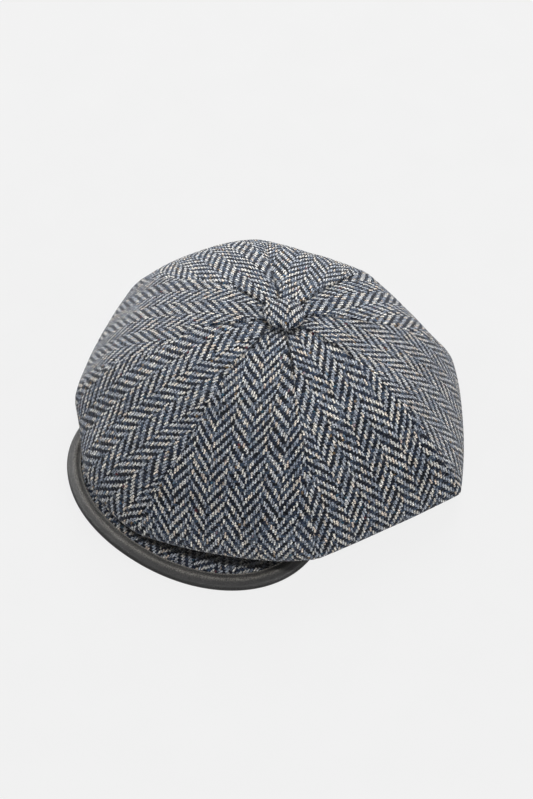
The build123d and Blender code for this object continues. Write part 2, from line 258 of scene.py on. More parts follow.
class Recipe:
    """A material under construction: short calls that add and link its nodes."""

    def __init__(self, name, roughness, specular=0.5, sheen=0.0, sheen_roughness=0.5,
                 sheen_tint=(1, 1, 1), metallic=0.0):
        self.material = bpy.data.materials.new(name)
        self.material.use_nodes = True
        self.tree = self.material.node_tree
        self.shader = self.tree.nodes["Principled BSDF"]
        self.set(self.shader, "Roughness", roughness)
        self.set(self.shader, "Specular IOR Level", specular)
        self.set(self.shader, "Sheen Weight", sheen)
        self.set(self.shader, "Sheen Roughness", sheen_roughness)
        self.set(self.shader, "Sheen Tint", (*sheen_tint, 1))
        self.set(self.shader, "Metallic", metallic)

    def set(self, node, socket, value):
        """Link an output to a socket, or set the socket's own value."""
        if isinstance(value, bpy.types.NodeSocket):
            self.tree.links.new(value, node.inputs[socket])
        else:
            node.inputs[socket].default_value = value

    def node(self, kind, values):
        """A new node with its sockets, given by name or number, linked or set."""
        node = self.tree.nodes.new(kind)
        for socket, value in values.items():
            self.set(node, socket, value)
        return node

    def math(self, operation, a, b=0.0, c=0.0, clamp=False):
        node = self.node("ShaderNodeMath", {0: a, 1: b, 2: c})
        node.operation = operation
        node.use_clamp = clamp
        return node.outputs[0]

    def mul(self, a, b, clamp=False):
        return self.math("MULTIPLY", a, b, clamp=clamp)

    def add(self, a, b):
        return self.math("ADD", a, b)

    def sub(self, a, b):
        return self.math("SUBTRACT", a, b)

    def madd(self, a, b, c):
        """a * b + c"""
        return self.math("MULTIPLY_ADD", a, b, c)

    def floor(self, a):
        return self.math("FLOOR", a)

    def wrap(self, value, period):
        """Remainder that stays positive: value - period * floor(value / period)."""
        return self.sub(value,
                         self.mul(self.floor(self.math("DIVIDE", value, period)), period))

    def ramp(self, value, low, high):
        """0 below low, 1 above high, smooth between."""
        node = self.node("ShaderNodeMapRange", {"Value": value, "From Min": low, "From Max": high})
        node.interpolation_type = "SMOOTHSTEP"
        return node.outputs["Result"]

    def mix(self, factor, a, b, blend="MIX"):
        node = self.tree.nodes.new("ShaderNodeMix")
        node.data_type = "RGBA"
        node.blend_type = blend
        self.set(node, 0, factor)
        for socket, value in ((6, a), (7, b)):
            self.set(node, socket, opaque(value))
        return node.outputs[2]

    def tint(self, colour, tone):
        """A colour multiplied by a grey value."""
        return self.mix(1.0, colour, self.join(tone, tone, tone), "MULTIPLY")

    def join(self, x, y, z):
        return self.node("ShaderNodeCombineXYZ", {0: x, 1: y, 2: z}).outputs[0]

    def split(self, vector):
        return self.node("ShaderNodeSeparateXYZ", {0: vector}).outputs

    def attribute(self, name):
        node = self.tree.nodes.new("ShaderNodeAttribute")
        node.attribute_name = name
        return node

    def position(self):
        return self.tree.nodes.new("ShaderNodeTexCoord").outputs["Object"]

    def noise(self, vector, scale, detail=2.0, roughness=0.5):
        values = {"Vector": vector, "Scale": scale, "Detail": detail, "Roughness": roughness}
        return self.node("ShaderNodeTexNoise", values).outputs

    def cell_edges(self, vector, scale):
        """Distance to the nearest edge between random cells."""
        node = self.node("ShaderNodeTexVoronoi", {"Vector": vector, "Scale": scale})
        node.feature = "DISTANCE_TO_EDGE"
        return node.outputs["Distance"]

    def dice(self, vector):
        """Random value and colour of a cell, given by whole numbers."""
        return self.node("ShaderNodeTexWhiteNoise", {"Vector": vector}).outputs

    def colours(self, value, stops, interpolation="LINEAR"):
        node = self.tree.nodes.new("ShaderNodeValToRGB")
        node.color_ramp.interpolation = interpolation
        elements = node.color_ramp.elements
        while len(elements) < len(stops):
            elements.new(0.5)
        for element, (place, colour) in zip(elements, stops):
            element.position = place
            element.color = (*colour, 1)
        self.set(node, 0, value)
        return node.outputs[0]

    def bump(self, height, distance, strength=1.0, below=None):
        node = self.node("ShaderNodeBump", {"Height": height, "Distance": distance, "Strength": strength})
        if below is not None:
            self.set(node, "Normal", below)
        return node.outputs[0]

    def finish(self, colour, normal=None, roughness=None):
        self.set(self.shader, "Base Color", opaque(colour))
        if normal is not None:
            self.set(self.shader, "Normal", normal)
        if roughness is not None:
            self.set(self.shader, "Roughness", roughness)
        return self.material


# ======== materials
def make_tweed(name):
    """Herringbone tweed: light warp floats over a dark weft, reversing every eight yarns."""
    r = Recipe(name, roughness=0.92, specular=0.12, sheen=0.22, sheen_roughness=0.38,
               sheen_tint=(0.94, 0.94, 0.96))
    weave = r.attribute("weave").outputs["Vector"]
    u, v, gore = r.split(weave)
    spread = r.join(u, v, r.mul(gore, 3.7))

    # uneven yarns: broad drift, then a finer waver
    drift = r.split(r.noise(spread, 45.0, 1.0)["Color"])
    waver = r.split(r.noise(spread, 420.0, 2.0, 0.6)["Color"])
    feather = r.split(r.noise(spread, 1700.0, 1.0)["Color"])

    def displaced(axis, k, broad, fine):
        total = r.madd(r.sub(drift[k], 0.5), broad, axis)
        total = r.madd(r.sub(waver[k], 0.5), fine, total)
        return r.madd(r.sub(feather[k], 0.5), 0.0011, total)

    warp = r.math("DIVIDE", displaced(u, 0, 0.0013, 0.0018), WARP_PITCH)
    pick = r.math("DIVIDE", displaced(v, 1, 0.0016, 0.0026), PICK_PITCH)
    warp_i = r.floor(warp)
    pick_i = r.floor(pick)
    across_warp = r.sub(warp, warp_i)
    across_pick = r.sub(pick, pick_i)

    column = r.floor(r.math("DIVIDE", warp_i, COLUMN_YARNS))
    yarn = r.madd(column, -COLUMN_YARNS, warp_i)
    back = r.wrap(column, 2.0)  # 1 in every second column
    turn = r.madd(back, -2.0, 1.0)
    step = r.madd(yarn, turn, back)
    run = r.add(yarn, across_warp)
    weft_step = r.madd(run, turn, r.mul(back, 2.0))

    warp_phase = r.wrap(r.add(pick, step), 4.0)
    on_top = r.math("LESS_THAN", warp_phase, 2.0)
    warp_place = r.mul(warp_phase, 0.5)
    weft_place = r.mul(r.sub(r.wrap(r.add(pick_i, weft_step), 4.0), 2.0), 0.5)

    def hump(value, power):
        """1 in the middle of 0..1 and 0 at its ends."""
        flat = r.mul(r.mul(value, r.sub(1.0, value)), 4.0, clamp=True)
        return r.math("POWER", flat, power)

    warp_high = r.mul(hump(across_warp, 0.75), hump(warp_place, 0.24))
    weft_high = r.mul(hump(across_pick, 0.45), hump(weft_place, 0.40))

    # yarn colours: each float draws its own, melange changes along the yarn
    float_n = r.floor(r.mul(r.add(pick, step), 0.25))
    warp_draw = r.dice(r.join(warp_i, float_n, gore))
    weft_draw = r.dice(r.join(r.add(pick_i, 91.0),
                              r.floor(r.mul(r.add(pick_i, weft_step), 0.25)), gore))
    streak = r.noise(r.join(r.mul(warp_i, 0.37), r.mul(v, 160.0), gore), 1.0, 2.0)["Fac"]
    cloud = r.noise(spread, 60.0, 2.0)["Fac"]
    fibre = r.noise(spread, 2600.0, 2.0, 0.65)["Fac"]
    mottle = r.noise(spread, 950.0, 2.0, 0.6)["Fac"]
    grit = r.noise(spread, 1600.0, 1.0)["Fac"]

    light = r.colours(r.add(r.mul(warp_draw["Value"], 0.72), r.mul(streak, 0.28)), [
        (0.00, (0.086, 0.108, 0.146)), (0.20, (0.192, 0.222, 0.276)), (0.40, (0.358, 0.382, 0.422)),
        (0.58, (0.508, 0.514, 0.512)), (0.74, (0.620, 0.594, 0.540)), (0.88, (0.536, 0.446, 0.368)),
        (1.00, (0.320, 0.358, 0.420))])
    dark = r.colours(weft_draw["Value"], [
        (0.00, (0.002, 0.003, 0.005)), (0.40, (0.004, 0.007, 0.015)), (0.66, (0.010, 0.018, 0.038)),
        (0.84, (0.032, 0.052, 0.086)), (0.95, (0.085, 0.105, 0.135)), (1.00, (0.012, 0.010, 0.018))])
    fleck_draw = r.dice(r.join(r.add(warp_i, 37.0), pick_i, r.add(gore, 11.0)))
    fleck = r.colours(fleck_draw["Color"], [
        (0.00, (0.16, 0.022, 0.030)), (0.34, (0.16, 0.022, 0.030)), (0.36, (0.03, 0.12, 0.19)),
        (0.66, (0.05, 0.17, 0.33)), (0.68, (0.30, 0.19, 0.08)), (1.00, (0.30, 0.19, 0.08))], "CONSTANT")
    is_fleck = r.math("GREATER_THAN", fleck_draw["Value"], 0.982)

    yarn_colour = r.mix(on_top, dark, light)
    yarn_colour = r.mix(r.mul(is_fleck, 0.50), yarn_colour, fleck)
    high = r.add(r.mul(warp_high, on_top),
                  r.mul(weft_high, r.sub(1.0, on_top)))
    ragged = r.madd(r.sub(grit, 0.5), 1.1, high)
    # near-black in the low gaps between yarn floats: painted shade in the weave's hollows
    gap = r.ramp(ragged, 0.26, 0.76)
    colour = r.mix(gap, (0.004, 0.006, 0.010), yarn_colour)
    tone = r.madd(cloud, 0.5, 0.74)
    tone = r.mul(tone, r.madd(fibre, 0.9, 0.55))
    tone = r.mul(tone, r.madd(r.ramp(mottle, 0.32, 0.68), 1.18, 0.39))
    tone = r.mul(tone, r.madd(r.ramp(grit, 0.34, 0.66), 0.9, 0.55))
    colour = r.tint(colour, tone)
    # wool fibres teased out of the yarns lie across the gaps
    fuzz = r.noise(spread, 1000.0, 3.0, 0.7)["Fac"]
    colour = r.mix(r.mul(r.ramp(fuzz, 0.50, 0.74), 0.20), colour, (0.34, 0.35, 0.38))

    # painted shadow: the cloth is darkened where the "shade" attribute is set, under the crown's lip on the
    # visor
    painted_shadow = r.madd(r.attribute("shade").outputs["Fac"], -SHADE_DEPTH, 1.0)
    colour = r.tint(colour, painted_shadow)
    relief = r.add(ragged, r.mul(fibre, 0.30))
    return r.finish(colour, r.bump(relief, 0.00045))


def make_leather(name, dark, worn, roughness, grain=1.0):
    """Grained leather, lighter by its wear attribute: rubbed wear, and the binding's painted highlight."""
    r = Recipe(name, roughness=roughness, specular=0.45, sheen=0.06)
    where = r.position()
    pebbles = r.cell_edges(where, 1500.0)
    creases = r.noise(where, 420.0, 4.0, 0.6)["Fac"]
    blotch = r.noise(where, 60.0, 3.0)["Fac"]
    speckle = r.noise(where, 1300.0, 2.0, 0.7)["Fac"]
    wear_and_highlight = r.attribute("wear_and_highlight").outputs["Fac"]
    amount = r.mul(wear_and_highlight, r.madd(r.ramp(speckle, 0.36, 0.66), 1.1, 0.15), clamp=True)
    colour = r.mix(amount, dark, worn)
    # random blotches, times a painted shadow where the "shade" attribute is set under the crown
    tone = r.mul(r.madd(blotch, 0.6, 0.7),
                  r.madd(r.attribute("shade").outputs["Fac"], -SHADE_DEPTH, 1.0))
    colour = r.tint(colour, tone)
    fine = r.bump(r.ramp(pebbles, 0.0, 0.25), 0.00005 * grain)
    shape = r.bump(creases, 0.00022 * grain, below=fine)
    rough = r.madd(creases, 0.25, roughness - 0.12)
    return r.finish(colour, shape, rough)


def make_satin(name):
    r = Recipe(name, roughness=0.34, specular=0.5, sheen=0.15)
    u, v, gore = r.split(r.attribute("weave").outputs["Vector"])
    threads = r.math("SINE", r.mul(v, 2 * math.pi / 0.0004))
    slub = r.noise(r.join(r.mul(u, 60.0), r.mul(v, 900.0), gore), 1.0, 2.0)["Fac"]
    tone = r.madd(slub, 0.5, 0.75)
    colour = r.tint((0.045, 0.050, 0.066), tone)
    return r.finish(colour, r.bump(threads, 0.00002, below=r.bump(slub, 0.00010)))


def make_canvas(name, colour, pitch, depth):
    """Plain woven cloth, from the object's own coordinates."""
    r = Recipe(name, roughness=0.85, specular=0.2, sheen=0.1)
    x, y, z = r.split(r.position())
    around = r.add(x, y)
    frequency = 2 * math.pi / pitch
    a = r.math("SINE", r.mul(around, frequency))
    b = r.math("SINE", r.mul(z, frequency))
    over = r.mul(a, b)
    slub = r.noise(r.position(), 500.0, 3.0)["Fac"]
    tone = r.add(r.madd(over, 0.12, 0.8), r.madd(slub, 0.3, -0.1))
    return r.finish(r.tint(colour, tone), r.bump(over, depth))


def make_metal(name, colour, roughness):
    """Plated metal with dull patches and fine scratches."""
    r = Recipe(name, roughness=roughness, metallic=1.0)
    where = r.position()
    dull = r.noise(where, 700.0, 4.0, 0.6)["Fac"]
    scratch = r.noise(r.join(*(r.mul(c, f) for c, f in zip(r.split(where), (3000.0, 400.0, 800.0)))),
                      1.0, 2.0)["Fac"]
    tone = r.madd(dull, 0.8, 0.6)
    colour = r.tint(colour, tone)
    return r.finish(colour, r.bump(scratch, 0.00002), r.madd(dull, 0.3, roughness - 0.15))


def make_board(name):
    """Moulded polymer board with a faint pressed grain."""
    r = Recipe(name, roughness=0.6, specular=0.4)
    where = r.position()
    grain = r.noise(where, 900.0, 3.0, 0.6)["Fac"]
    flow = r.noise(where, 40.0, 2.0)["Fac"]
    tone = r.madd(flow, 0.25, 0.86)
    return r.finish(r.tint((0.55, 0.53, 0.50), tone), r.bump(grain, 0.00006))


def make_thread(name, colour):
    r = Recipe(name, roughness=0.6, specular=0.3, sheen=0.1)
    twist = r.noise(r.position(), 4000.0, 2.0)["Fac"]
    tone = r.madd(twist, 0.6, 0.7)
    return r.finish(r.tint(colour, tone), r.bump(twist, 0.00005))


def make_floor(name):
    """Pale studio floor; part of its brightness is its own, so shadows stay faint."""
    r = Recipe(name, roughness=0.9, specular=0.0)
    r.set(r.shader, "Emission Color", (1, 1, 1, 1))
    r.set(r.shader, "Emission Strength", FLOOR_GLOW)
    grain = r.noise(r.position(), 30.0, 2.0)["Fac"]
    tone = r.madd(grain, 0.01, 0.995 * FLOOR_ALBEDO)
    return r.finish(r.join(tone, tone, tone))


FLOOR_GLOW = 0.8395
FLOOR_ALBEDO = 0.020

TWEED_CROWN = make_tweed("tweed_crown")
TWEED_BUTTON = make_tweed("tweed_button")
TWEED_VISOR = make_tweed("tweed_visor")
# the lighter colour is rubbed wear and, along the binding's crest, a painted highlight
LEATHER_BINDING = make_leather("leather_binding", (0.019, 0.019, 0.020), (0.200, 0.190, 0.173), 0.38,
                               grain=1.8)
LEATHER_UNDER = make_leather("leather_under", (0.024, 0.023, 0.024), (0.050, 0.046, 0.042), 0.52)
LEATHER_SWEAT = make_leather("leather_sweatband", (0.050, 0.034, 0.026), (0.11, 0.075, 0.055), 0.48)
SATIN = make_satin("satin_lining")
CANVAS = make_canvas("canvas_interlining", (0.62, 0.58, 0.50), 0.0011, 0.00018)
LABEL_CLOTH = make_canvas("label_cloth", (0.12, 0.12, 0.13), 0.0005, 0.00006)
STEEL = make_metal("button_metal", (0.60, 0.60, 0.62), 0.35)
BRASS = make_metal("stud_metal", (0.25, 0.21, 0.15), 0.36)
BOARD = make_board("visor_board")
THREAD_DARK = make_thread("thread_dark", (0.06, 0.055, 0.05))
THREAD_LIGHT = make_thread("thread_light", (0.30, 0.28, 0.25))


# ======== crown
def band_reach(angle, half_a, half_b):
    """Distance from the button's axis to an oval round the origin."""
    turn = math.radians(angle)
    run_x, run_y = math.sin(turn), -math.cos(turn)
    a = (run_x / half_a) ** 2 + (run_y / half_b) ** 2
    b = 2 * BUTTON_Y * run_y / half_b ** 2
    c = (BUTTON_Y / half_b) ** 2 - 1
    return (-b + math.sqrt(b * b - 4 * a * c)) / (2 * a)


def crown_sizes(angle):
    """Reach, rim height, fold radius and foot height at a seam or in the middle of a gore."""
    place = (angle % 360) / GORE_STEP
    index = int(place)
    low, high = SEAMS[index], SEAMS[(index + 1) % len(SEAMS)]
    if place == index:
        return low
    half = math.radians(GORE_STEP / 2)
    chord = low[0] * high[0] * math.sin(2 * half) / ((low[0] + high[0]) * math.sin(half))
    return (chord + GORE_BULGE[index],) + tuple((p + q) / 2 for p, q in zip(low[1:], high[1:]))


def respace(line, count):
    """Points at equal distances along a polyline."""
    run = run_along(line)
    at = np.linspace(0, run[-1], count + 1)
    return np.stack([np.interp(at, run, line[:, k]) for k in range(line.shape[1])], 1)


def bezier(p0, p1, p2, p3, count=400):
    t = np.linspace(0, 1, count)[:, None]
    p0, p1, p2, p3 = map(np.array, (p0, p1, p2, p3))
    return (1 - t) ** 3 * p0 + 3 * (1 - t) ** 2 * t * p1 + 3 * (1 - t) * t * t * p2 + t ** 3 * p3


def crown_profile(angle):
    """(radius, height) line from the button over the shoulder and the fold to the band."""
    reach, rim_z, fold_r, foot_z = crown_sizes(angle)
    lean = math.cos(math.radians(angle))
    shoulder = (SHOULDER + SHOULDER_FRONT * lean) * reach
    top_z = lambda radius: APEX_Z + TOP_SLOPE * lean * radius
    wall_z = rim_z + WALL * (APEX_Z - rim_z)
    tip = (TIP_R, top_z(TIP_R) - APEX_DIP)
    top = bezier(tip, (shoulder, top_z(shoulder)), (reach, wall_z), (reach, rim_z))
    foot = band_reach(angle, BAND_A, BAND_B) + FOOT_GAP
    to_foot = np.array((foot - (reach - fold_r), foot_z - rim_z))
    climb = math.atan2(to_foot[1], -to_foot[0]) + math.asin(min(1, fold_r / np.linalg.norm(to_foot)))
    a = np.linspace(0, math.pi / 2 + climb, 60)
    fold = np.stack([reach - fold_r + fold_r * np.cos(a), rim_z - fold_r * np.sin(a)], 1)
    under = fold[-1] + np.linspace(0, 1, 30)[:, None] * (np.array((foot, foot_z)) - fold[-1])
    return np.vstack([respace(top, ROWS_TOP), respace(fold, ROWS_FOLD)[1:], respace(under, ROWS_UNDER)[1:]])


def place_profile(angle, profile, sway=0.0):
    """A profile stood up in its plane through the button's axis, moved sideways by sway."""
    turn = math.radians(angle)
    out = np.array((math.sin(turn), -math.cos(turn)))
    side = np.array((math.cos(turn), math.sin(turn)))
    sway = np.broadcast_to(sway, len(profile))[:, None]
    plan = profile[:, :1] * out + sway * side + np.array((0, BUTTON_Y))
    return np.c_[plan, profile[:, 1]]


def crown_outward(points):
    """Directions that point out of the crown, the same for both gores at a seam."""
    centre = np.array((0.0, BUTTON_Y * 0.4, 0.018))
    radii = np.array((0.137, 0.132, 0.066))
    return unit((points - centre) / radii ** 2)


def field(points, size, seed):
    """Smooth random values, -1..1, at points."""
    flat = points.reshape(-1, 3) / size + seed
    return np.array([noise.noise(Vector(p)) for p in flat]).reshape(points.shape[:-1])


# Seam angle: (distance from the button, drift to the wearer's left of a straight seam), mm. These are points
# of the photo's seams that a least-squares script turned into drift, then rounded.
SEAM_SWAY = {
    0: ((0, 0), (24, 1.0), (40, -2.6), (59, -3.0), (80, -1.0), (101, 1.6), (115, 1.4), (131, -0.2),
        (146, -2.4), (160, -3.5), (185, 0)),
    45: ((0, 0), (60, -0.8), (90, 0), (125, -1.8), (160, 0)),
    90: ((0, 0), (32, 0.6), (40, 2.6), (50, 4.6), (60, 4.4), (80, 2.2), (100, 1.6), (115, 0), (130, -2.2),
         (145, -3), (165, 0)),
    135: ((0, 0), (22, 0.8), (37, -0.8), (54, -2.2), (72, -3.5), (95, -3.8), (115, -2.5), (135, 0)),
    180: ((0, 0), (28, -1.2), (40, -3), (55, -4), (72, -4), (95, -2), (115, 0)),
    225: ((0, 0), (24, 1.4), (56, 1.4), (100, 2), (135, 0)),
    270: ((0, 0), (27, -1.5), (40, -2.3), (57, -1.2), (72, 1.5), (91, 4), (110, 4), (150, 0)),
    315: ((0, 0), (27, 2), (40, 0.2), (53, -1.5), (63, 0), (78, 2.2), (97, 0.2), (113, -3.2), (131, -4.8),
          (150, -5), (175, 0)),
}


def seam_sway(angle, profile):
    run = run_along(profile)
    at, value = np.array(SEAM_SWAY[angle % 360]).T * MM
    smooth = np.interp(run, at, value)
    return np.convolve(np.pad(smooth, 8, mode="edge"), np.ones(17) / 17, mode="valid")


def span_gore(left, middle, right, columns, power):
    """Places across a gore, -1..1, and the grid that spans its two seams by way of its middle line."""
    s = np.sin(np.linspace(-1, 1, columns + 1) * math.pi / 2)
    w = ((s + 1) / 2)[None, :, None]
    grid = left[:, None] * (1 - w) + right[:, None] * w
    return s, grid + (middle - (left + right) / 2)[:, None] * (1 - np.abs(s) ** power)[None, :, None]


def part_seams(grid, chord):
    """A gore drawn in by a hairline at both of its seams."""
    push = np.zeros_like(grid)
    push[:, 0], push[:, -1] = chord, -chord
    return grid + unit(push) * GORE_SPLIT


def crown_node(index):
    side, number = ("left", index + 1) if index < 4 else ("right", 8 - index)
    return f"{side}_{number}"


def sew_gore(kind, index, outer, cloth, thinning, uvw, material):
    """Closed cloth shell under an outer grid, thinner at the gore's tip, that stands for its CAD panel."""
    normals = grid_normals(outer)
    upward = np.sign(normals[len(outer) // 3, outer.shape[1] // 2, 2])
    inner = outer - normals * upward * cloth * thinning[:, None, None]
    points, quads = shell(outer, inner)
    if upward < 0:
        quads = quads[:, ::-1]
    uvw = uvw.reshape(-1, 3)
    name = crown_node(index)
    piece = new_object(f"{kind}_gore_{name}", points, quads, np.vstack([uvw, uvw]))
    return dress(piece, material, "root", [f"{kind}_panel_{name}"])


def make_gore(index):
    """Outer surface of one gore with its weave coordinates: rows run from the button to the band."""
    near = index * GORE_STEP
    lines = []
    for angle in (near, near + GORE_STEP / 2, near + GORE_STEP):
        profile = crown_profile(angle)
        sway = seam_sway(angle, profile) if angle % GORE_STEP == 0 else 0.0
        lines.append(place_profile(angle, profile, sway))
    left, middle, right = lines
    s, grid = span_gore(left, middle, right, GORE_COLUMNS, BULGE_SHAPE)

    # weave coordinates: the columns follow the middle of the gore
    half = GORE_COLUMNS // 2
    centre = grid[:, half]
    down = run_along(centre) + TIP_R
    tangent = unit(np.gradient(centre, axis=0))
    chord = right - left
    skew = np.einsum("ij,ij->i", chord, tangent) / np.linalg.norm(chord, axis=1)
    arc = row_arcs(grid)
    arc -= arc[:, [half]]
    weave_u = arc * np.sqrt(1 - skew ** 2)[:, None]
    weave_v = down[:, None] + arc * skew[:, None]
    width_scale, lean, slant_top, slant_hem, length_scale = GRAIN.get(index, PLAIN_GRAIN)
    slant = np.interp(down, (SLANT_FROM, SLANT_TO), (slant_top, slant_hem))[:, None]
    weave_u, weave_v = (width_scale * weave_u + lean * (weave_v - GRAIN_MIDDLE),
                        length_scale * weave_v + slant * weave_u)
    edge = np.minimum(arc - arc[:, :1], arc[:, -1:] - arc)
    width = (arc[:, -1:] - arc[:, :1]) / 2

    outward = crown_outward(grid)
    radius = np.hypot(grid[..., 0], grid[..., 1] - BUTTON_Y)
    loose = np.clip((radius - 0.018) / 0.03, 0, 1) * np.clip((grid[..., 2] - 0.012) / 0.02, 0.15, 1)
    slack = 1 - np.abs(s)[None, :] ** 3
    swell = SWELL[0] * field(grid, *SWELL[1:]) * loose
    crumple = CRUMPLE[0] * field(grid, *CRUMPLE[1:]) * loose * (0.35 + 0.65 * slack)
    groove = -GROOVE_DEPTH * np.exp(-(edge / GROOVE_WIDTH) ** 2) * np.clip(width / 0.010, 0.0, 1)
    dimple = -DIMPLE_DEPTH * np.exp(-(radius / DIMPLE_R) ** 6)
    grid = grid + outward * (swell + crumple + groove + dimple)[..., None]

    for place, size, pull in PULLS:
        near_by = np.exp(-np.sum((grid - place) ** 2, axis=2) / size ** 2)
        grid = grid + near_by[..., None] * pull

    return part_seams(grid, chord), weave_u, weave_v


GORE_PHASE = {0: 0.0, 1: 1.0, 2: 3.0, 3: -4.0, 4: 2.5, 5: -2.0, 6: 5.0, 7: 0.0}  # shift of the columns, mm


crown_rim = []  # (turn, reach) of the crown's widest points, for the painted shadow on the visor


def build_crown():
    """The eight tweed gores."""
    for index in range(8):
        outer, u, v = make_gore(index)
        radius = np.hypot(outer[..., 0], outer[..., 1] - BUTTON_Y)
        widest = outer[np.argmax(radius, axis=0), np.arange(outer.shape[1])]
        turns = np.arctan2(widest[:, 0], BUTTON_Y - widest[:, 1])
        crown_rim.extend(zip(turns, radius.max(axis=0)))
        thinning = np.clip((np.arange(len(outer)) + 1) / 6, 0.35, 1)
        uvw = np.stack([u + GORE_PHASE[index] * MM, v, np.full_like(u, index + 1.0)], 2)
        piece = sew_gore("crown", index, outer, CLOTH_T, thinning, uvw, TWEED_CROWN)


build_crown()


# ======== lining
LINING_REACH_A, LINING_REACH_B = 0.0858, 0.1018
LINING_DROP = 0.004
LINING_T = 0.0005
LINING_HEM_Z = 0.0253
LINING_SHOULDER, LINING_WALL = 0.6, 0.5
LINING_TUCK, LINING_TUCK_W = 0.0010, 0.0014
LINING_ROWS, LINING_COLUMNS = 70, 32
LINING_GAP = 0.0002
LINING_SAG, LINING_SWELL, LINING_CRUMPLE = 0.0010, (0.0008, 0.020, 21.3), (0.0004, 0.008, 5.9)


def lining_profile(angle):
    reach = band_reach(angle, LINING_REACH_A, LINING_REACH_B) - LINING_GAP
    lean = math.cos(math.radians(angle))
    shoulder = LINING_SHOULDER * reach
    top_z = lambda radius: APEX_Z + TOP_SLOPE * lean * radius - LINING_DROP
    wall_z = LINING_HEM_Z + LINING_WALL * (APEX_Z - LINING_DROP - LINING_HEM_Z)
    tip = (TIP_R, top_z(TIP_R) - APEX_DIP)
    line = bezier(tip, (shoulder, top_z(shoulder)), (reach, wall_z), (reach, LINING_HEM_Z))
    return respace(line, LINING_ROWS)


def build_lining():
    """The eight satin gores."""
    for index in range(8):
        near = index * GORE_STEP
        angles = (near, near + GORE_STEP / 2, near + GORE_STEP)
        left, middle, right = (place_profile(angle, lining_profile(angle)) for angle in angles)
        grid = span_gore(left, middle, right, LINING_COLUMNS, 2)[1]
        arc = row_arcs(grid)
        edge = np.minimum(arc, arc[:, -1:] - arc)
        width = arc[:, -1:] / 2
        outward = crown_outward(grid)
        free = np.clip((grid[..., 2] - 0.030) / 0.02, 0, 1)
        swell = LINING_SWELL[0] * field(grid, *LINING_SWELL[1:])
        crumple = LINING_CRUMPLE[0] * field(grid, *LINING_CRUMPLE[1:])
        sag = (swell + crumple - LINING_SAG) * free
        tuck = -LINING_TUCK * np.exp(-(edge / LINING_TUCK_W) ** 2) * np.clip(width / 0.010, 0, 1) * free
        outer = grid + outward * (sag + tuck)[..., None]
        outer = part_seams(outer, right - left)
        run = run_along(grid[:, LINING_COLUMNS // 2])
        uvw = np.stack([arc - width, np.broadcast_to(run[:, None], arc.shape), np.full_like(arc, index)], 2)
        thinning = np.clip((np.arange(len(outer)) + 1) / 5, 0.4, 1)
        piece = sew_gore("lining", index, outer, LINING_T, thinning, uvw, SATIN)


build_lining()


# ======== bands
BAND_STEPS = 240
BAND_CLOTH = 0.0020
HEM_PUFF = 0.0003
SWEAT_A, SWEAT_B, SWEAT_T = 0.0852, 0.1012, 0.0012
SWEAT_LOW, SWEAT_HIGH = 0.0010, 0.0250


def build_ring(name, half_a, half_b, low, high, thickness, radius, material, node,
               swell=None, wear_and_highlight=None):
    profile = split_long(rounded_bar(low, high, thickness, radius), 0.0012)
    points, run = sweep_ring(profile, half_a, half_b, BAND_STEPS)
    if swell is not None:
        points = swell(points, profile)
    rows, cols = points.shape[:2]
    quads = grid_quads(rows + 1, cols, wrap=True)
    quads = quads % (rows * cols)
    uvw = np.stack([np.broadcast_to(run[:, None], (rows, cols)),
                    np.broadcast_to(profile[:, 1][None, :], (rows, cols)), np.full((rows, cols), 20.0)], 2)
    extra = {"wear_and_highlight": wear_and_highlight(profile, rows)} if wear_and_highlight else None
    piece = new_object(name, points.reshape(-1, 3), quads, uvw.reshape(-1, 3), extra)
    return dress(piece, material, "root", [node])


def hem_swell(points, profile):
    """The turned hem is a little fuller than the band, and slightly uneven."""
    full = HEM_PUFF * np.exp(-((profile[:, 1] - 0.004) / 0.0035) ** 2)[None, :]
    wave = 0.00025 * field(points, 0.018, 4.4)
    outward = unit(points * np.array((1 / BAND_A, 1 / BAND_B, 0)) ** 2)
    outside = (profile[:, 0] < BAND_CLOTH / 2)[None, :]
    return points + outward * ((full + wave - HEM_PUFF) * outside)[..., None]


def sweat_wear(profile, rows):
    worn = 0.25 + 0.6 * np.exp(-((profile[:, 1] - SWEAT_LOW) / 0.0015) ** 2)
    return np.broadcast_to(worn, (rows, len(profile)))


outer_band = build_ring("outer_band_cloth", BAND_A, BAND_B, 0.0, BAND_TOP, BAND_CLOTH, 0.0009, TWEED_CROWN,
                        "outer_band", swell=hem_swell)
build_ring("sweatband_leather", SWEAT_A, SWEAT_B, SWEAT_LOW, SWEAT_HIGH, SWEAT_T, 0.0005, LEATHER_SWEAT,
           "sweatband", wear_and_highlight=sweat_wear)


def oval_path(half_a, half_b, height, count):
    turn = np.radians(np.linspace(0, 360, count, endpoint=False))
    return np.stack([half_a * np.sin(turn), -half_b * np.cos(turn), np.full(count, height)], 1)


def stitches_along(name, path, pitch, length, radius, closed=False):
    """Running stitches along a path of close points."""
    line = np.vstack([path, path[:1]]) if closed else path
    run = run_along(line)
    count = int(run[-1] / pitch)
    at = np.arange(count) * run[-1] / count
    sample = lambda t: np.stack([np.interp(t, run, line[:, k]) for k in range(3)], 1)
    return capsule_chain(name, sample(at), sample(at + length), radius)


sweat_line = oval_path(SWEAT_A - SWEAT_T, SWEAT_B - SWEAT_T, 0.0035, 720)
sweat_thread = stitches_along("sweatband_stitches", sweat_line, 0.0030, 0.0022, 0.00022, closed=True)
dress(sweat_thread, THREAD_LIGHT, "root")


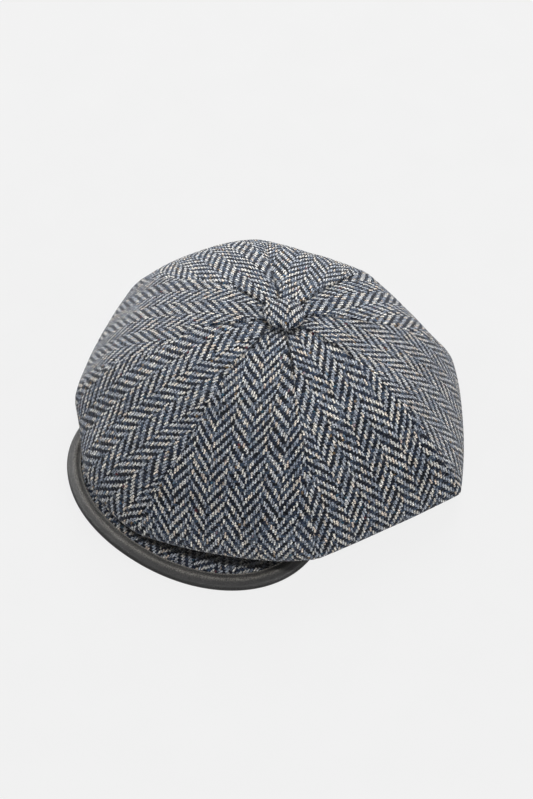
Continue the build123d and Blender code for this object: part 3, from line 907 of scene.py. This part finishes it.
def build_label():
    """Blank woven label with a folded border, sewn to the back of the sweatband."""
    low, high = (np.array(c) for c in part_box("inner_label"))
    half = (high[0] - low[0]) / 2
    rows, cols = 22, 44
    z = np.linspace(low[2], high[2], rows)
    x = np.linspace(-half, half, cols)
    grid_z, grid_x = np.meshgrid(z, x, indexing="ij")
    depth = np.minimum(np.minimum(half - np.abs(grid_x), grid_z - low[2]), high[2] - grid_z)
    rise = 0.00028 + 0.00012 * np.exp(-((depth - 0.0008) / 0.0007) ** 2)
    inner_a, inner_b = SWEAT_A - SWEAT_T, SWEAT_B - SWEAT_T
    base_y = inner_b * np.sqrt(1 - (grid_x / inner_a) ** 2)
    outer = np.stack([grid_x, base_y - rise, grid_z], 2)
    back = np.stack([grid_x, base_y - 0.00003, grid_z], 2)
    points, quads = shell(outer, back)
    piece = new_object("blank_label", points, quads)
    dress(piece, LABEL_CLOTH, "root", ["inner_label"])
    border = []
    inset = 0.0013
    for x0, z0, x1, z1 in ((-1, 0, 1, 0), (1, 0, 1, 1), (1, 1, -1, 1), (-1, 1, -1, 0)):
        t = np.linspace(0, 1, 60)
        px = (half - inset) * (x0 + (x1 - x0) * t)
        pz = low[2] + inset + (high[2] - low[2] - 2 * inset) * (z0 + (z1 - z0) * t)
        border.append(np.stack([px, inner_b * np.sqrt(1 - (px / inner_a) ** 2) - 0.0004, pz], 1))
    thread = stitches_along("label_stitches", np.vstack(border), 0.0018, 0.0013, 0.00012)
    dress(thread, THREAD_LIGHT, "root")


build_label()


# ======== covered button
BUTTON_R = 0.0135
BUTTON_LIFT = 0.0009
BUTTON_H = 0.0065
BUTTON_CLOTH = 0.0010
DOME_ANGLE = math.radians(84)  # the dome is this much of a sphere's cap
PLEATS = 14  # gathers of the cloth under the button's edge
BUTTON_TURN = math.radians(140)  # the herringbone on the button points this way
BUTTON_POINT = 0.0023  # its point lies beside the middle


def build_button():
    """Domed cloth cover gathered under the button's edge."""
    origin = Vector((0, BUTTON_Y, APEX_Z - APEX_DIP + BUTTON_LIFT))
    up = Vector((0, TOP_SLOPE, 1)).normalized()
    side = Vector((1, 0, 0))
    front = side.cross(up) * -1
    a = np.linspace(0, 1, 26) * DOME_ANGLE
    dome_r = BUTTON_R * np.sin(a) / math.sin(DOME_ANGLE)
    dome_z = BUTTON_H * (0.30 + 0.70 * (np.cos(a) - math.cos(DOME_ANGLE)) / (1 - math.cos(DOME_ANGLE)))
    edge = [(BUTTON_R, 0.0014), (BUTTON_R - 0.0002, 0.0007), (BUTTON_R - 0.0008, 0.0002),
            (BUTTON_R - 0.0020, 0.0)]
    outer = np.vstack([np.stack([dome_r, dome_z], 1), edge])
    inner = [(BUTTON_R - 0.0020, 0.0004), (BUTTON_R - BUTTON_CLOTH - 0.0001, 0.0009),
             (BUTTON_R - BUTTON_CLOTH - 0.0001, 0.0017)]
    shrink = 1 - BUTTON_CLOTH / BUTTON_R
    inside = np.stack([dome_r[::-1] * shrink, dome_z[::-1] - BUTTON_CLOTH], 1)
    inside = inside[inside[:, 1] > 0.0018]
    profile = np.vstack([outer, inner, inside])
    steps = 72
    points, uvw = [], []
    run = run_along(outer)
    run = np.interp(np.arange(len(profile)), np.arange(len(run)), run)
    for k in range(steps):
        turn = 2 * math.pi * k / steps
        pleat = 1 - 0.010 * (0.5 + 0.5 * math.cos(PLEATS * turn))
        for (radius, height), length in zip(profile, run):
            low = max(0.0, 1 - height / 0.0026) if radius > 0.008 else 0.0
            reach = radius * (1 - (1 - pleat) * low)
            away = math.sin(turn) * side + math.cos(turn) * front
            points.append(origin + away * reach + up * height)
            from_front = turn - BUTTON_TURN
            uvw.append((math.sin(from_front) * length + BUTTON_POINT, math.cos(from_front) * length, 30.0))
    quads = grid_quads(steps + 1, len(profile), flip=True) % (steps * len(profile))
    piece = new_object("button_tweed", [tuple(p) for p in points], quads, uvw)
    weld = piece.modifiers.new("weld", "WELD")
    weld.merge_threshold = 0.00001
    dress(piece, TWEED_BUTTON, "root", ["button_cover"])


build_button()


# ======== visor
VISOR_HALF_W, VISOR_REACH, VISOR_WIDE_Y = 0.0921, 0.0690, -0.0772
VISOR_SQUARE = 2.08  # 2 is an ellipse; more is squarer
TAIL_ARC_R = 0.06019  # turns the sides in towards the band
VISOR_ARCH, ARCH_HALF = 0.0030, 0.0976
ARCH_R = (ARCH_HALF ** 2 + VISOR_ARCH ** 2) / (2 * VISOR_ARCH)
ROOT_A, ROOT_B = 0.0890, 0.1050  # the visor's inner edge
VISOR_STEPS = 240
LEAST_ROOM = 0.0002  # the binding is never narrower than this
VISOR_SHIFT = -0.0017  # the visor is sewn on a little to the wearer's right


def arch_drop(x):
    return ARCH_R - np.sqrt(ARCH_R ** 2 - x ** 2)


def visor_outline(inset, count=VISOR_STEPS):
    """Points of the outer edge from the wearer's right tail to the left one, with inward directions."""
    half_w, reach = VISOR_HALF_W - inset, VISOR_REACH - inset
    tail_r = TAIL_ARC_R - inset
    side = []
    for a in np.radians(np.linspace(0, 48, 200)):
        x = half_w - tail_r + tail_r * math.cos(a)
        y = VISOR_WIDE_Y + tail_r * math.sin(a)
        if (x / ROOT_A) ** 2 + (y / ROOT_B) ** 2 < 1:
            break
        side.append((x, y))
    side = np.array(side)
    front_a = np.radians(np.linspace(0, 180, 600))[1:-1]
    power = 2 / VISOR_SQUARE
    across = np.sign(np.cos(front_a)) * np.abs(np.cos(front_a)) ** power
    front = np.stack([half_w * across, VISOR_WIDE_Y - reach * np.sin(front_a) ** power], 1)
    line = np.vstack([side[::-1], front, side * (-1, 1)])[::-1] + (VISOR_SHIFT, 0)
    line = respace(line, count)
    tangent = unit(np.gradient(line, axis=0))
    inward = np.stack([-tangent[:, 1], tangent[:, 0]], 1)
    return line, inward


def root_line(count=VISOR_STEPS):
    """The visor's inner edge, from the wearer's right to left."""
    end = visor_outline(0)[0][-1]
    last = math.atan2(end[0] / ROOT_A, -end[1] / ROOT_B)
    turn = np.linspace(-last, last, 400)
    return respace(np.stack([ROOT_A * np.sin(turn), -ROOT_B * np.cos(turn)], 1), count)


def room_inward(line, inward, room):
    """Distance along the inward direction from the edge to the visor's inner edge, capped at room."""
    out = []
    for p, n in zip(line, inward):
        a = (n[0] / ROOT_A) ** 2 + (n[1] / ROOT_B) ** 2
        b = 2 * (p[0] * n[0] / ROOT_A ** 2 + p[1] * n[1] / ROOT_B ** 2)
        c = (p[0] / ROOT_A) ** 2 + (p[1] / ROOT_B) ** 2 - 1
        disc = b * b - 4 * a * c
        hit = (-b - math.sqrt(disc)) / (2 * a) if disc > 0 else room
        out.append(min(room, max(hit, LEAST_ROOM)))
    return np.array(out)


# how far past the crown's rim the painted shadow ends, at the side and at the front, and its soft edge
COVER_SIDE, COVER_FRONT, COVER_FADE = -0.0052, 0.0000, 0.0030


def painted_crown_shadow(plan):
    """Painted shadow mask: 1 where the crown hides the visor, 0 out in the open, from points in plan."""
    turn = np.arctan2(plan[..., 0], BUTTON_Y - plan[..., 1])
    reach = np.hypot(plan[..., 0], plan[..., 1] - BUTTON_Y)
    at, rim = np.array(sorted(crown_rim)).T
    side = np.clip((turn + math.radians(35)) / math.radians(45), 0, 1)
    past = reach - np.interp(turn, at, rim) - (COVER_SIDE + (COVER_FRONT - COVER_SIDE) * side)
    t = np.clip(past / COVER_FADE + 0.5, 0, 1)
    return 1 - t * t * (3 - 2 * t)


def build_visor_sheet(name, low, high, material, node, inset, gore_id):
    """One layer of the visor between its band edge and its outer edge."""
    rows = 48
    edge = visor_outline(inset)[0]
    root = root_line()
    w = np.linspace(0, 1, rows)[:, None, None]
    plan = root[None] * (1 - w) + edge[None] * w
    crest = 0.00012 * field(np.dstack([plan, np.zeros(plan.shape[:2])]), 0.025, 7.7)
    drop = arch_drop(plan[..., 0])
    top = np.dstack([plan, high - drop + crest])
    bottom = np.dstack([plan, low - drop])
    points, quads = shell(top, bottom)
    if grid_normals(top)[rows // 2, VISOR_STEPS // 2, 2] < 0:
        quads = quads[:, ::-1]
    uvw = np.dstack([plan[..., 0], plan[..., 1], np.full(plan.shape[:2], gore_id)]).reshape(-1, 3)
    # shade: painted shadow where the crown covers the visor, given to every layer
    shade = np.r_[painted_crown_shadow(plan).ravel(), np.zeros(plan[..., 0].size)]
    extra = {"wear_and_highlight": np.full(len(points), 0.2), "shade": shade}
    piece = new_object(name, points, quads, np.vstack([uvw, uvw]), extra)
    return dress(piece, material, "visor", [node])


top_cover = build_visor_sheet("visor_tweed_top", 0.00775, 0.0090, TWEED_VISOR,
                              "visor_top_cover", 0.0013, 40.0)
build_visor_sheet("visor_leather_under", 0.0050, 0.00585, LEATHER_UNDER, "visor_under_cover",
                  0.0013, 41.0)
build_visor_sheet("visor_core", 0.00590, 0.00770, BOARD, "visor_board", 0.0014, 42.0)

# closed section of the binding: distance in from the edge, height above the floor at the middle, lightening
# (wear, and a painted highlight along the crest)
BINDING_SECTION = [
    (9.60, 9.16, 0.9), (9.62, 9.38, 1.0), (9.40, 9.58, 1.0), (8.90, 9.46, 0.35), (8.10, 9.44, 0.25),
    (7.30, 9.58, 0.35), (6.60, 9.86, 0.65), (5.90, 10.08, 1.0), (5.20, 10.14, 1.0), (4.50, 10.02, 0.65),
    (3.80, 9.80, 0.25), (3.00, 9.56, 0.1), (2.20, 9.34, 0.1), (1.40, 9.10, 0.1), (0.80, 8.72, 0.1),
    (0.35, 8.20, 0.1), (0.04, 7.40, 0.1), (0.02, 6.30, 0.0), (0.10, 5.20, 0.1), (0.45, 4.20, 0.4),
    (1.10, 3.45, 0.4), (2.00, 3.15, 0.1), (3.00, 3.35, 0.0), (4.20, 3.90, 0.1), (5.50, 4.18, 0.2),
    (7.50, 4.24, 0.2), (9.00, 4.22, 0.3), (9.50, 4.36, 0.6), (9.55, 4.70, 0.6), (9.00, 4.86, 0.0),
    (4.00, 4.86, 0.0), (1.60, 4.90, 0.0), (1.12, 5.40, 0.0), (1.12, 8.60, 0.0), (1.70, 9.02, 0.0),
    (4.00, 9.08, 0.0), (9.00, 9.10, 0.0),
]
BINDING_WIDTH = 0.0097
STITCH_INSET = 0.0091


def build_binding():
    """Leather binding folded round the visor's edge, with a rolled rim and a pressed crease."""
    section = np.array(BINDING_SECTION)
    line, inward = visor_outline(0, VISOR_STEPS * 2)
    room = room_inward(line, inward, BINDING_WIDTH)
    scale = room / BINDING_WIDTH
    inset = section[:, 0][None, :] * MM * scale[:, None]
    plan = line[:, None] + inward[:, None] * inset[..., None]
    height = np.broadcast_to(section[:, 1][None, :] * MM, inset.shape)
    wave = 0.00009 * field(np.dstack([plan, height]), 0.006, 2.2)
    points = np.dstack([plan, height + wave * (section[:, 1] > 9.3)[None, :] - arch_drop(plan[..., 0])])
    rows, cols = points.shape[:2]
    quads = grid_quads(rows, cols, wrap=True)
    caps = [tuple(range(cols)), tuple((rows - 1) * cols + k for k in reversed(range(cols)))]
    # the lighter crest is wear and a painted highlight; shade is painted shadow where the crown covers the
    # binding
    wear_and_highlight = np.broadcast_to(section[:, 2][None, :], (rows, cols))
    extra = {"wear_and_highlight": wear_and_highlight, "shade": painted_crown_shadow(points)}
    faces = [*map(tuple, quads), *caps]
    piece = new_object("visor_binding_leather", points.reshape(-1, 3), faces, None, extra)
    dress(piece, LEATHER_BINDING, "visor", ["visor_binding"])
    inner = line + inward * (STITCH_INSET * scale)[:, None]
    keep = scale > 0.6  # no stitches where the binding runs out at the tails
    for name, height, material in (("binding_stitches_top", 9.53, THREAD_LIGHT),
                                   ("binding_stitches_under", 4.26, THREAD_DARK)):
        path = np.c_[inner, height * MM - arch_drop(inner[:, 0])][keep]
        thread = stitches_along(name, path, 0.0021, 0.0015, 0.00013)
        dress(thread, material, "visor")


build_binding()


# ======== carried-over parts
def repaint(node, material, bevel=0.0):
    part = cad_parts[node]
    if part.material_slots:
        for slot in part.material_slots:
            slot.material = material
    else:
        part.data.materials.append(material)
    if bevel:
        edge = part.modifiers.new("soft_edges", "BEVEL")
        edge.width = bevel
        edge.segments = 3
        edge.limit_method = "ANGLE"


for node in ("button_shell", "button_back", "button_washer"):
    repaint(node, STEEL, 0.00012)
for node in ("stud", "stud_rivet", "socket", "socket_rivet"):
    repaint(node, BRASS, 0.00025)
repaint("band_interlining", CANVAS)


# ======== stage, lights and camera
FLOOR_HALF = 30.0
LIGHT_TARGET = (0, 0, 0.04)


def build_stage():
    corners = [(x * FLOOR_HALF, y * FLOOR_HALF, 0) for x, y in ((-1, -1), (1, -1), (1, 1), (-1, 1))]
    mesh = bpy.data.meshes.new("floor")
    mesh.from_pydata(corners, [], [(0, 1, 2, 3)])
    floor = link("floor", mesh)
    mesh.materials.append(make_floor("floor_white"))
    floor.visible_diffuse = False
    floor.visible_glossy = False


def add_light(name, place, size, power):
    """A round lamp that faces the middle of the cap."""
    data = bpy.data.lights.new(name, "AREA")
    data.shape = "DISK"
    data.size = size
    data.energy = power
    lamp = link(name, data)
    lamp.location = place
    lamp.rotation_euler = (Vector(LIGHT_TARGET) - Vector(place)).to_track_quat("-Z", "Y").to_euler()


def build_camera():
    a, e = CAMERA_AZIMUTH, CAMERA_ELEVATION
    right = Vector((math.cos(a), math.sin(a), 0))
    back = Vector((math.sin(a) * math.cos(e), -math.cos(a) * math.cos(e), math.sin(e)))
    up = back.cross(right)
    aim = Vector(CAMERA_BASE) + right * CAMERA_AIM[0] + up * CAMERA_AIM[1]
    data = bpy.data.cameras.new("camera")
    data.sensor_width = SENSOR
    data.lens = FOCAL_PX * SENSOR / IMAGE_H
    camera = link("camera", data)
    camera.rotation_mode = "QUATERNION"
    camera.location = aim + back * CAMERA_DISTANCE
    frame_axes = Matrix((right, up, back)).transposed()
    camera.rotation_quaternion = (frame_axes @ Matrix.Rotation(CAMERA_ROLL, 3, "Z")).to_quaternion()
    scene.camera = camera


build_stage()
build_camera()
add_light("key", (-0.6, 1.5, 1.2), 1.0, 56.0)
add_light("fill", (0.2, -1.4, 0.85), 1.0, 7.5)
add_light("left_side", (1.7, -0.1, 0.6), 1.2, 22.0)
add_light("right_side", (-1.6, 0.1, 0.5), 1.2, 24.0)

world = bpy.data.worlds.new("studio")
world.use_nodes = True
sky = world.node_tree
direction = sky.nodes.new("ShaderNodeTexCoord")
height = sky.nodes.new("ShaderNodeSeparateXYZ")
fade = sky.nodes.new("ShaderNodeMapRange")
sky.links.new(direction.outputs["Generated"], height.inputs[0])
sky.links.new(height.outputs["Z"], fade.inputs["Value"])
for socket, value in (("From Min", 0.0), ("From Max", 0.95), ("To Min", 0.14), ("To Max", 0.44)):
    fade.inputs[socket].default_value = value
sky.links.new(fade.outputs["Result"], sky.nodes["Background"].inputs["Strength"])
sky.nodes["Background"].inputs["Color"].default_value = (1.0, 1.0, 1.0, 1)
scene.world = world
scene.view_settings.view_transform = "Standard"
